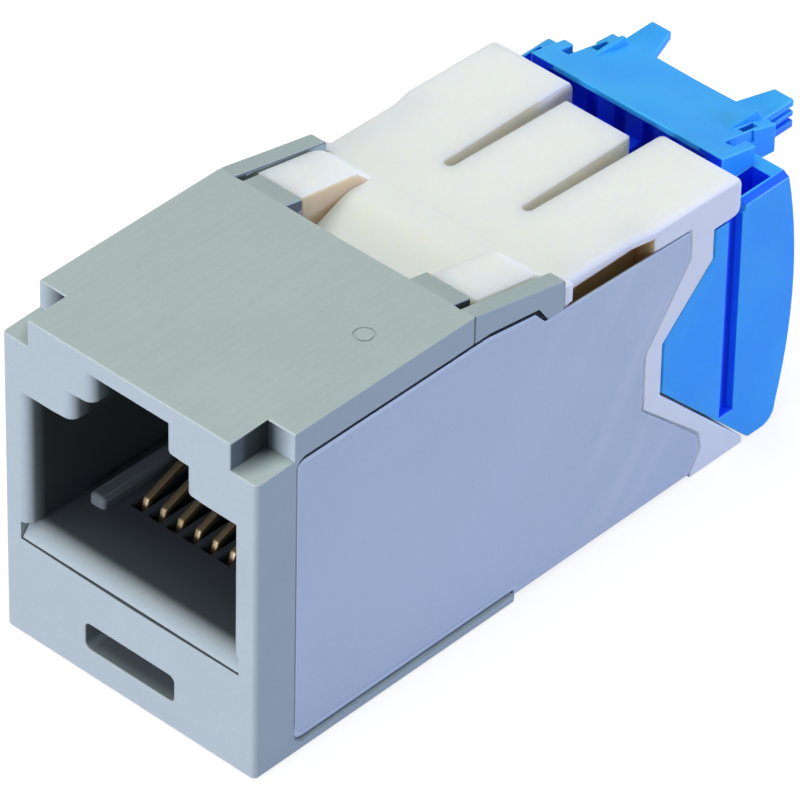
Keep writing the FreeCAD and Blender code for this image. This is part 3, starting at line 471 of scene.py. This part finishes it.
# Film colours: dull base, lighter tone for swells that double as painted sheen, specks, painted
# crease sheen, painted bead highlight, painted groove shade, painted seam shadow
FOIL_DULL = (0.365, 0.46, 0.575)
FOIL_SHEEN_LIGHT = (0.402, 0.497, 0.61)
FOIL_SPECK = (0.58, 0.64, 0.71)
FOIL_CREASE_SHEEN = (0.485, 0.55, 0.64)
FOIL_BEAD_HIGHLIGHT = (0.465, 0.56, 0.665)
FOIL_GROOVE_SHADE = (0.33, 0.415, 0.52)
FOIL_SEAM_SHADOW = (0.05, 0.06, 0.08)
CREASE_SHEEN_LEAN = math.radians(53.0)
CREASE_SHEEN_SCALE = (1.0, 1.0 / 130.0, 1.0 / 620.0)

# Along the jack: where the painted crease sheen starts, the painted bead highlight and groove
# shade fade out and the painted front seam shadow lies
CREASE_SHEEN_RUN = (-3.0 * MM, 2.0 * MM)
BEAD_RUN = (-6.0 * MM, 0.0)
SEAM_SHADOW_RUN = (-15.90 * MM, -15.87 * MM)
SEAM_SHADOW_RISE = (0.8 * MM, 1.4 * MM)


def foil_crease_sheen(tree, place, along):
    """Faint slanting streaks of painted sheen on the creases of the rear half of the foil."""
    lean = tree.nodes.new("ShaderNodeMapping")
    lean.vector_type = "TEXTURE"
    lean.inputs["Rotation"].default_value = (CREASE_SHEEN_LEAN, 0.0, 0.0)
    lean.inputs["Scale"].default_value = CREASE_SHEEN_SCALE
    tree.links.new(place, lean.inputs["Vector"])
    streaks = noise_node(tree, lean.outputs["Vector"], scale=1.0, detail=1.0)
    faint = spread(tree, streaks, (0.5, 0.75), (0.0, 0.5))
    return math_node(tree, "MULTIPLY", faint, spread(tree, along, CREASE_SHEEN_RUN, (0.0, 1.0)))


def make_foil():
    """Blue-grey shielding film: long soft tone swells that double as painted sheen, and a satin
    face.
    """
    made, tree, shader = start_material("shield_film")
    place = object_place(tree)
    spot = split(tree, place)
    swell = noise_node(tree, place, scale=120.0, detail=2.0)
    grain = noise_node(tree, place, scale=5200.0, detail=2.0)
    # Painted sheen along slanting creases
    crease_sheen = foil_crease_sheen(tree, place, spot["Y"])
    # Painted highlight on the bead and painted shade in its groove, fading out towards the rear
    bead_paint_fade = spread(tree, spot["Y"], BEAD_RUN, (1.0, 0.15))
    bead_highlight = math_node(tree, "MULTIPLY", face_share(tree, "edge_wear_and_highlight"), bead_paint_fade)
    groove_shade = math_node(tree, "MULTIPLY", face_share(tree, "painted_shade"), bead_paint_fade)
    # Painted shadow along the foil's front edge, above its lowest part
    seam_shadow = math_node(tree, "MULTIPLY", spread(tree, spot["Y"], SEAM_SHADOW_RUN, (0.8, 0.0)),
                     spread(tree, spot["Z"], SEAM_SHADOW_RISE, (0.0, 1.0)))
    # Random tone swells, which double as painted sheen
    colour = mix_colour(tree, spread(tree, swell, (0.3, 0.7), (0.0, 1.0)), FOIL_DULL, FOIL_SHEEN_LIGHT)
    for share, paint in (
            (spread(tree, grain, (0.3, 0.7), (0.0, 0.12)), FOIL_SPECK),
            (crease_sheen, FOIL_CREASE_SHEEN), (bead_highlight, FOIL_BEAD_HIGHLIGHT), (groove_shade, FOIL_GROOVE_SHADE), (seam_shadow, FOIL_SEAM_SHADOW)):
        colour = mix_colour(tree, share, colour, paint)
    tree.links.new(colour, shader.inputs["Base Color"])
    tree.links.new(spread(tree, swell, (0.3, 0.7), (0.36, 0.5)), shader.inputs["Roughness"])
    shader.inputs["Metallic"].default_value = 0.15
    shader.inputs["Specular IOR Level"].default_value = 0.5
    add_bump(tree, shader, grain, 0.008 * MM, 0.3)
    return made


def make_metal(name, colour, dull_colour, scale, roughness):
    """Plated metal: brighter and duller patches drawn out along the strip."""
    made, tree, shader = start_material(name)
    strip = stretched(tree, object_place(tree), (scale * 6.0, scale, scale * 6.0))
    drawn = noise_node(tree, strip, scale=1.0, detail=3.0)
    dull = spread(tree, drawn, (0.35, 0.7), (0.0, 1.0))
    tree.links.new(mix_colour(tree, dull, colour, dull_colour), shader.inputs["Base Color"])
    tree.links.new(spread(tree, drawn, (0.3, 0.7), roughness), shader.inputs["Roughness"])
    shader.inputs["Metallic"].default_value = 1.0
    add_bump(tree, shader, drawn, 0.004 * MM, 0.3)
    return made


def make_board():
    """Board laminate under solder mask, with a faint weave."""
    made, tree, shader = start_material("board_laminate")
    place = object_place(tree)
    weave = tree.nodes.new("ShaderNodeTexWave")
    weave.inputs["Scale"].default_value = 900.0
    weave.inputs["Distortion"].default_value = 1.5
    tree.links.new(place, weave.inputs["Vector"])
    cloud = noise_node(tree, place, scale=400.0, detail=3.0)
    woven = spread(tree, weave.outputs["Fac"], (0.0, 1.0), (0.0, 0.5))
    mask = mix_colour(tree, woven, (0.02, 0.12, 0.05), (0.04, 0.18, 0.08))
    tree.links.new(mask, shader.inputs["Base Color"])
    tree.links.new(spread(tree, cloud, (0.3, 0.7), (0.3, 0.45)), shader.inputs["Roughness"])
    add_bump(tree, shader, weave.outputs["Fac"], 0.006 * MM, 0.3)
    return made


grey_plastic = make_grey_plastic()
dark_plastic = make_plastic("dark_plastic", {
    "Colour": (0.045, 0.055, 0.058),
    # Lighter edges for wear and painted highlight; darker colour for painted shade
    "Edge Wear And Highlight Colour": (0.07, 0.085, 0.09),
    "Painted Shade Colour": (0.02, 0.02, 0.024),
    "Cloud Depth": 0.12,
    "Grain Scale": 6000.0,
    "Roughness": 0.55,
}, bump_strength=0.5, specular=0.2)[0]
white_plastic = make_white_plastic()
blue_plastic = make_blue_plastic()
shield_film = make_foil()
gold_plate = make_metal("gold_plate", (0.34, 0.285, 0.175), (0.22, 0.155, 0.07),
                        scale=900.0, roughness=(0.45, 0.62))
tin_plate = make_metal("tin_plate", (0.72, 0.73, 0.74), (0.56, 0.57, 0.58),
                       scale=800.0, roughness=(0.25, 0.45))
board_laminate = make_board()


# Pieces with softened edges, made from the modelled solids. Spots and boxes are in millimetres.
ACROSS = (1.0, 0.0, 0.0)
ALONG = (0.0, 1.0, 0.0)
UPWARD = (0.0, 0.0, 1.0)
WELD_DISTANCE = 0.0005 * MM
FLAT_TURN = math.radians(0.4)
SMOOTH_TURN = math.radians(35.0)

# Rounding: turns in degrees that count as an edge, and how much of the room beside it is used
SHARP_TURN = 32.0
ROOM_SHARE = 0.45
LEAST_SHARE = 0.2
ROUND_STEPS = 3
ENDLESS = 1.0
FACES_BACK = -0.1
RUNS_ON = 0.8
LIES_AHEAD = 0.5


def everywhere(face):
    return True


def anywhere(spot):
    return 1.0


def as_it_is(piece):
    pass


def take(piece):
    """Selects one piece alone and makes it active."""
    bpy.ops.object.select_all(action="DESELECT")
    piece.select_set(True)
    bpy.context.view_layer.objects.active = piece


def pick_faces(piece, chosen):
    """Goes to edit mode with the faces selected that a test picks."""
    bpy.ops.object.mode_set(mode="EDIT")
    bpy.ops.mesh.select_mode(type="FACE")
    bpy.ops.mesh.select_all(action="DESELECT")
    bpy.ops.object.mode_set(mode="OBJECT")
    for face in piece.data.polygons:
        face.select = chosen(face)
    bpy.ops.object.mode_set(mode="EDIT")


def work_copy(node, name, cuts=()):
    """A loose copy of a solid, welded into one skin, with flat faces joined up to the cuts."""
    take(frame["nodes"][node])
    bpy.ops.object.duplicate()
    piece = bpy.context.object
    bpy.ops.object.parent_clear(type="CLEAR")
    piece.name = name
    piece.data.name = name
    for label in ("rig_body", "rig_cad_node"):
        del piece[label]
    # Two empty slots, so that rounding can mark its faces with the second
    piece.data.materials.clear()
    piece.data.materials.append(None)
    piece.data.materials.append(None)
    bpy.ops.mesh.customdata_custom_splitnormals_clear()
    pick_faces(piece, everywhere)
    bpy.ops.mesh.remove_doubles(threshold=WELD_DISTANCE)
    for spot, across, chosen in cuts:
        pick_faces(piece, chosen)
        bpy.ops.mesh.select_mode(type="EDGE")
        bpy.ops.mesh.bisect(plane_co=Vector(spot) * MM, plane_no=across)
        bpy.ops.mesh.mark_seam()
    pick_faces(piece, everywhere)
    bpy.ops.mesh.dissolve_limited(angle_limit=FLAT_TURN, delimit={"SEAM"})
    bpy.ops.object.mode_set(mode="OBJECT")
    return piece


def list_sides(mesh):
    """For every edge, the faces beside it and the direction from it into each face."""
    sides = {}
    for face in mesh.polygons:
        ring = list(face.vertices)
        for start, end in zip(ring, ring[1:] + ring[:1]):
            along = mesh.vertices[end].co - mesh.vertices[start].co
            into = face.normal.cross(along).normalized()
            sides.setdefault(tuple(sorted((start, end))), []).append((face, into))
    return sides


def nearest_on(spot, start, end):
    """The point of a straight run that lies nearest to a spot."""
    run = end - start
    share = (spot - start).dot(run) / max(run.length_squared, 1e-18)
    return start + run * min(max(share, 0.0), 1.0)


def room_inside(mesh, sides, face, key, into):
    """How far an edge can move into a face before it meets the edges that face it."""
    first, last = (mesh.vertices[index].co for index in key)
    room = ENDLESS
    for other in face.edge_keys:
        shared = set(key) & set(other)
        if len(shared) == 2:
            continue
        start, end = (mesh.vertices[index].co for index in other)
        if shared:
            corner = mesh.vertices[shared.pop()].co
            run = (end if corner == start else start) - corner
            onward = corner - (last if corner == first else first)
            turns = run.normalized().dot(onward.normalized()) < RUNS_ON
            if turns and run.dot(into) > 0.0:
                room = min(room, run.dot(into))
            continue
        ways = [way for side, way in sides[tuple(sorted(other))] if side.index == face.index]
        if not any(way.dot(into) < FACES_BACK for way in ways):
            continue
        steps = [(spot, nearest_on(spot, first, last)) for spot in (start, end)]
        steps += [(nearest_on(spot, start, end), spot) for spot in (first, last)]
        for far, near in steps:
            inward = (far - near).dot(into)
            if inward > LIES_AHEAD * (far - near).length:
                room = min(room, inward)
    return room


def weigh_edges(piece, radius, sharp, wanted):
    """Gives each outward edge that turns enough the share of the radius that fits beside it.

    wanted tells the largest share at an edge's middle, where True counts as one.
    """
    mesh = piece.data
    label = "bevel_weight_edge"
    layer = mesh.attributes.get(label) or mesh.attributes.new(label, "FLOAT", "EDGE")
    sides = list_sides(mesh)
    for edge in mesh.edges:
        layer.data[edge.index].value = 0.0
        key = tuple(sorted(edge.vertices))
        beside = sides[key]
        middle = (mesh.vertices[key[0]].co + mesh.vertices[key[1]].co) / 2
        share = wanted(middle / MM)
        if len(beside) != 2 or not share:
            continue
        (face, into), (other, other_into) = beside
        outward = other_into.dot(face.normal) < 0.0
        if not outward or face.normal.angle(other.normal, 0.0) < math.radians(sharp):
            continue
        room = ROOM_SHARE * min(room_inside(mesh, sides, face, key, into),
                                room_inside(mesh, sides, other, key, other_into))
        if room > LEAST_SHARE * radius:
            layer.data[edge.index].value = min(share, room / radius)


def mark_faces(piece, label, value, chosen):
    """Notes a share on the faces that a test picks, for the materials to read."""
    mesh = piece.data
    layer = mesh.attributes.get(label) or mesh.attributes.new(label, "FLOAT", "FACE")
    for face in mesh.polygons:
        if chosen(face):
            layer.data[face.index].value = value


def round_edges(piece, radius, sharp, wanted):
    """Rounds the outward edges and marks their faces for edge wear with painted highlight."""
    weigh_edges(piece, radius, sharp, wanted)
    take(piece)
    soft = piece.modifiers.new("soft_edges", "BEVEL")
    soft.limit_method = "WEIGHT"
    soft.width = radius
    soft.segments = ROUND_STEPS
    soft.use_clamp_overlap = False
    soft.loop_slide = False
    soft.material = 1
    bpy.ops.object.modifier_apply(modifier=soft.name)
    mark_faces(piece, "edge_wear_and_highlight", 1.0, lambda face: face.material_index == 1)


def inside(face, low, high):
    """Tells if a face's middle lies in a box, on either side of the jack."""
    middle = face.center / MM
    spot = (abs(middle.x), middle.y, middle.z)
    return all(start <= value <= end for start, value, end in zip(low, spot, high))


def shade_faces(piece, rows):
    """Marks faces by label, share, box and a test of each face; a later row wins."""
    for label, share, low, high, fits in rows:
        mark_faces(piece, label, share, lambda face: inside(face, low, high) and fits(face))


def keep_in_box(piece, node):
    """Draws back the corners that rounding pushed past the solid's own box."""
    low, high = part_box(node)
    for vertex in piece.data.vertices:
        limits = zip(vertex.co, low, high)
        vertex.co = Vector(min(max(value, start), end) for value, start, end in limits)


def finish_piece(piece, node, body, material):
    take(piece)
    for face in piece.data.polygons:
        face.material_index = 0
    piece.data.materials.clear()
    piece.data.materials.append(material)
    bpy.ops.object.shade_smooth_by_angle(angle=SMOOTH_TURN)
    even = piece.modifiers.new("even_faces", "WEIGHTED_NORMAL")
    even.keep_sharp = True
    bpy.ops.object.modifier_apply(modifier=even.name)
    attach(piece, body)
    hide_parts(node)


def dress(node, name, body, material, radius,
          wanted=anywhere, broad=(), cuts=(), shape=as_it_is):
    """A softened piece in the place of a solid; broad lists wider rounds: size, turn and where."""
    piece = work_copy(node, name, cuts)
    shape(piece)
    for wide, sharp, where in broad:
        round_edges(piece, wide, sharp, where)
    round_edges(piece, radius, SHARP_TURN, wanted)
    keep_in_box(piece, node)
    finish_piece(piece, node, body, material)
    return piece


# Tests of the way a face looks
def not_up(face):
    return face.normal.z < 0.5


def looks_up(face):
    return face.normal.z > 0.6


def upright(face):
    return abs(face.normal.z) < 0.6


def sideways(face):
    return abs(face.normal.x) > 0.9


def mostly_sideways(face):
    return abs(face.normal.x) > 0.7


def not_front(face):
    return face.normal.y > -0.98


def square_on(face):
    return max(abs(value) for value in face.normal) > 0.9


# Grey shell, with painted shade where the foil's bed and the port lie in shade
SHELL_EDGE = 0.08 * MM
WING_ROUND = 0.3 * MM
TAB_DROP = 0.2 * MM
WING_INNER_SIDE = 6.2 * MM


def off_fine_lines(spot):
    """Leaves the fine lines, notch ends, foil's bed, catch and tray's channel crisp."""
    parting = abs(spot.x) > 7.2 and abs(spot.y + 5.5) < 0.15
    mark = spot.z > 17.1 and math.hypot(spot.x - 4.8, spot.y + 9.5) < 0.7
    notch_end = abs(spot.x) > 7.2 and abs(spot.y + 16.24) < 0.05 and 15.85 < spot.z < 17.15
    bed = abs(spot.x) > 7.2 and -16.2 < spot.y < 0.12 and 0.3 < spot.z < 15.81
    catch = abs(spot.x) < 2.7 and spot.y > -17.4 and spot.z < 1.9
    channel = 5.5 < abs(spot.x) < 6.6 and spot.y > -18.2 and 5.0 < spot.z < 6.3
    return not (parting or mark or notch_end or bed or catch or channel)


def on_bed(face):
    return sideways(face) and 6.8 * MM < abs(face.center.x) < 7.25 * MM


def on_roof(face):
    return face.normal.z > 0.99 and face.center.z > ROOF_START


def on_wing_end(spot):
    return abs(spot.x) > 6.4 and spot.y > 0.1 and spot.z > 15.95


def towards_gap(face):
    """Faces of the tabs and wings that look into the gap behind the roof."""
    inner = face.normal.x * face.center.x < 0.0
    return face.normal.z < 0.6 and (abs(face.center.x) < WING_INNER_SIDE or inner)


def drop_tabs(piece):
    """Slopes the two tabs behind the roof down from its rear edge."""
    for vertex in piece.data.vertices:
        spot = vertex.co / MM
        if spot.z > 17.1 and -5.4 < spot.y < -4.0 and 3.4 < abs(spot.x) < 6.3:
            vertex.co.z -= TAB_DROP


front_shell = dress(
    "front_housing", "front_shell", "jack", grey_plastic, SHELL_EDGE,
    wanted=off_fine_lines, broad=[(WING_ROUND, SHARP_TURN, on_wing_end)], shape=drop_tabs,
    cuts=[
        ((0.0, 0.0, 0.0), ACROSS, everywhere),
        ((4.8, 0.0, 0.0), ACROSS, on_roof),
        ((0.0, 0.0, 3.0), UPWARD, on_bed),
        ((0.0, -5.58, 0.0), ALONG, everywhere),
        ((0.0, -5.5, 0.0), ALONG, everywhere),
        ((0.0, -2.2, 0.0), ALONG, everywhere),
    ])
NOTCH_LOW = (5.75, -18.45, 15.75)
NOTCH_HIGH = (7.25, -16.2, 17.15)
shade_faces(front_shell, (
    # Edge wear with painted highlight along the roof's rear edge; painted shade on the foil's bed
    # and in the port
    ("edge_wear_and_highlight", 1.0, (0.0, -5.57, 17.1), (7.2, -5.51, 17.21), everywhere),
    ("painted_shade", 1.0, (6.85, -16.35, 3.0), (7.297, 2.0, 15.95), not_up),
    ("port_shade", 0.92, (0.0, -18.48, 5.3), (6.45, -6.0, 16.5), not_front),
    # Painted shade in the notches at the front corners of the roof
    ("notch_shade", 0.95, NOTCH_LOW, NOTCH_HIGH, square_on),
    ("port_shade", 0.0, NOTCH_LOW, NOTCH_HIGH, everywhere),
    ("painted_shade", 0.7, (5.7, -18.4, 15.8), (5.9, -16.3, 17.1), sideways),
    # Painted shade on the tabs and wings behind the roof
    ("painted_shade", 0.8, (3.4, -5.6, 13.0), (6.6, 0.3, 17.1), towards_gap),
    ("painted_shade", 0.12, (3.4, -5.5, 16.9), (6.2, -4.3, 17.2), everywhere),
    ("painted_shade", 0.08, (6.2, -5.4, 15.9), (7.3, 0.2, 17.15), looks_up),
    # Painted shade in the catch slot and the seam under the tray's sill
    ("painted_shade", 0.52, (0.0, -18.42, 1.35), (2.65, -8.0, 2.85), everywhere),
    ("painted_shade", 0.85, (0.0, -18.499, 5.1), (6.45, -17.0, 5.24), everywhere),
))


# Tray that carries the contacts: bevelled sill, deep deck and two guide ribs
TRAY_EDGE = 0.06 * MM
SILL_ROUND = 0.35 * MM
SILL_TURN = 12.0
RIB_ROUND = 0.2 * MM


def on_sill(spot):
    return -18.0 < spot.y < -17.5 and 5.95 < spot.z < 6.1


def on_rib_end(spot):
    return -15.6 < spot.y < -15.4 and 6.1 < spot.z < 6.7


contact_tray = dress(
    "contact_sled", "contact_tray", "jack", grey_plastic, TRAY_EDGE,
    broad=[(SILL_ROUND, SILL_TURN, on_sill), (RIB_ROUND, SHARP_TURN, on_rib_end)])
shade_faces(contact_tray, (
    # Painted shade on the deck, the guide ribs and the seam under the sill
    ("port_shade", 0.89, (0.0, -18.3, 3.0), (6.5, 0.0, 6.12), not_front),
    ("port_shade", 0.74, (4.2, -15.8, 6.12), (5.5, -6.0, 7.0), everywhere),
    ("painted_shade", 0.85, (0.0, -18.499, 5.24), (6.45, -18.3, 5.36), everywhere),
))


# White block, with painted beige shade where the light has to pass through the plastic
BLOCK_EDGE = 0.10 * MM
PLATE_ROUND = 0.35 * MM
PLATE_TURN = 15.0
CREST_ROUND = 0.35 * MM
CREST_TURN = 12.0
FINGER_END = 11.0
FINGER_ROUND_START = 14.5
FINGER_ROUND_RUN = 0.8
BLOCK_SIDE = 7.0 * MM


def on_plate_side(spot):
    """The sides of the top plate; the round runs out down the ends of the outer fingers."""
    if abs(spot.x) < 6.5 or spot.y < 0.4:
        return 0.0
    if spot.y > FINGER_END:
        return min(1.0, max(0.0, (spot.z - FINGER_ROUND_START) / FINGER_ROUND_RUN))
    return float(spot.z > 15.05)


def on_ramp_crest(spot):
    return -1.7 < spot.y < 0.4 and 15.3 < spot.z < 16.4 and abs(spot.x) < 6.3


rear_block = dress(
    "rear_housing", "rear_block", "jack", white_plastic, BLOCK_EDGE,
    broad=[(CREST_ROUND, CREST_TURN, on_ramp_crest), (PLATE_ROUND, PLATE_TURN, on_plate_side)])
shade_faces(rear_block, (
    # Painted beige shade: slits between the fingers, sides of the pads by the ramp, slots over the
    # foil
    ("painted_shade", 0.12, (1.7, 2.9, 13.0), (2.85, 11.9, 15.1), upright),
    ("painted_shade", 0.9, (3.5, -5.0, 14.0), (3.9, 0.3, 16.9), mostly_sideways),
    ("painted_shade", 1.0, (5.9, 0.7, 12.5), (7.08, 6.2, 14.9), everywhere),
))
mark_faces(rear_block, "dense_skin", 1.0,
           lambda face: sideways(face) and abs(face.center.x) > BLOCK_SIDE)


# Blue cap, with painted deep blue shade under its bar, in its grooves and in its pockets
CAP_EDGE = 0.07 * MM
GROOVE_LIFT = 0.25 * MM
CAP_CUTS = (-6.1, -4.22, 0.0, 4.22, 6.1)


def lift_grooves(piece):
    """Lifts the lower ends of the side grooves clear of the slanted edge."""
    for vertex in piece.data.vertices:
        spot = vertex.co / MM
        if abs(spot.x) > 6.5 and 10.8 < spot.y < 11.9 and 1.95 < spot.z < 2.05:
            vertex.co.z += GROOVE_LIFT


cable_cap = dress(
    "wire_cap", "cable_cap", "cap", blue_plastic, CAP_EDGE,
    shape=lift_grooves, cuts=[((x, 0.0, 0.0), ACROSS, everywhere) for x in CAP_CUTS])
shade_faces(cable_cap, (
    # Painted shade on the front under the bar
    ("painted_shade", 1.0, (0.0, 11.7, 9.0), (5.0, 13.2, 14.45), everywhere),
    # Painted shade in the side grooves: floor, lower end and rear wall
    ("painted_shade", 0.9, (6.55, 10.86, 2.0), (6.75, 11.74, 13.7), everywhere),
    ("painted_shade", 0.9, (6.6, 10.8, 2.0), (7.09, 11.9, 2.4), everywhere),
    ("painted_shade", 0.5, (6.75, 11.7, 2.0), (7.0, 11.83, 13.7), everywhere),
    # Painted shade in the pockets beside the bar, on the ledges next to them and on the prongs
    ("painted_shade", 0.9, (5.5, 12.0, 11.0), (6.75, 14.0, 13.55), everywhere),
    ("painted_shade", 0.7, (6.75, 11.8, 13.25), (7.08, 15.0, 13.58), everywhere),
    ("painted_shade", 0.4, (3.4, 16.8, 11.0), (4.2, 19.0, 13.2), everywhere),
))


# Foil with a bead pressed along its outline, painted lighter as a highlight
FOIL_EDGE = 0.03 * MM
FOIL_TOP_DROP = 0.28 * MM
FOIL_STEP_DROP = 0.12 * MM
BEAD_WIDTH = 0.2 * MM
BEAD_LINE = 0.05 * MM
BEAD_STEP = -0.02 * MM
PANEL_AREA = 50.0 * MM * MM
PANEL_SIDE = 7.1 * MM


def on_panel(face):
    broad = face.area > PANEL_AREA and abs(face.center.x) > PANEL_SIDE
    return broad and abs(face.normal.x) > 0.99


def press_bead(piece):
    """Insets the two broad side panels: a raised bead with painted highlight, then a fine step
    down to the panel with painted shade.
    """
    rings = ((BEAD_WIDTH, 0.0, "edge_wear_and_highlight"), (BEAD_LINE, BEAD_STEP, "painted_shade"))
    for width, depth, label in rings:
        before = len(piece.data.polygons)
        pick_faces(piece, on_panel)
        bpy.ops.mesh.inset(thickness=width, depth=depth)
        bpy.ops.object.mode_set(mode="OBJECT")
        mark_faces(piece, label, 1.0, lambda face: face.index >= before)


def lower_top_edge(piece):
    """Draws the foil's top edge down from the roof, so that its bed, painted with shade, shows as
    a dark seam.
    """
    for vertex in piece.data.vertices:
        spot = vertex.co / MM
        if spot.z > 15.0:
            vertex.co.z -= FOIL_TOP_DROP
        elif -1.2 < spot.y < -0.6 and spot.z > 14.2:
            vertex.co.z -= FOIL_STEP_DROP


def above_fold(spot):
    return spot.z > 0.35


shield_wrap = work_copy("shield_foil", "shield_wrap")
lower_top_edge(shield_wrap)
round_edges(shield_wrap, FOIL_EDGE, SHARP_TURN, above_fold)
press_bead(shield_wrap)
keep_in_box(shield_wrap, "shield_foil")
finish_piece(shield_wrap, "shield_foil", "jack", shield_film)

# Contacts, each on its own body
WIRE_EDGE = 0.09 * MM
for number in range(1, 9):
    dress(f"plug_contact_{number}", f"contact_wire_{number}", f"contact_{number}",
          gold_plate, WIRE_EDGE)

# Solids that keep their own shape
for node, finish in {
        "contact_clamp": dark_plastic, "circuit_board": board_laminate,
        **{f"idc_blade_{number}": tin_plate for number in range(1, 9)}}.items():
    solid = frame["nodes"][node]
    solid.data.materials.clear()
    solid.data.materials.append(finish)
